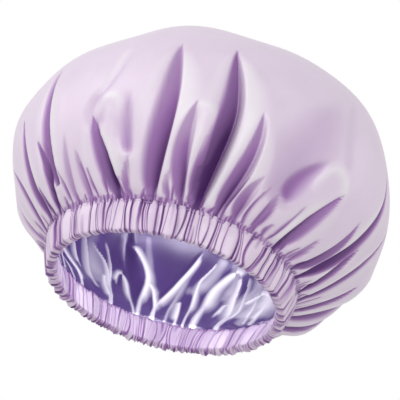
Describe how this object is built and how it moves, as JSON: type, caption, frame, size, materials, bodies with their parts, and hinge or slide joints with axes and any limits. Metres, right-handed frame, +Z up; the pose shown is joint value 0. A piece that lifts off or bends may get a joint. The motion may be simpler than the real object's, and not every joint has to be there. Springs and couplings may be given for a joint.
{
  "type": "shower cap",
  "caption": "Puffy satin shower cap with a lined, waterproof crown gathered into an elasticated folded brim that grips the head.",
  "frame": {"origin": "centre of the head opening, in the plane of the brim's folded edge, on which the cap stands", "axes": "+Z up through the crown, -Y the side that faces the viewer, +X to the viewer's right"},
  "size_m": [0.2786, 0.2795, 0.197],
  "materials": {
    "outer_satin": "smooth satin weave with a soft sheen, pale lavender",
    "lining_satin": "glossy satin weave, deeper blue violet",
    "film": "thin translucent waterproof film",
    "elastic": "woven elastic tape, white",
    "thread": "spun polyester sewing thread, lavender"
  },
  "bodies": {
    "brim": {"brim_casing": "outer_satin", "elastic_band": "elastic", "elastic_bartack": "thread", "seam_needle_thread": "thread", "seam_bobbin_thread": "thread", "casing_join_thread": "thread"},
    "crown": {"outer_shell": "outer_satin", "waterproof_membrane": "film", "inner_lining": "lining_satin"}
  },
  "joints": [
    {"name": "crown_collapse", "type": "slide", "parent": "brim", "child": "crown", "axis": [0, 0, -1], "range_m": [0, 0.09], "deforming": ["outer_shell", "waterproof_membrane", "inner_lining"]}
  ]
}
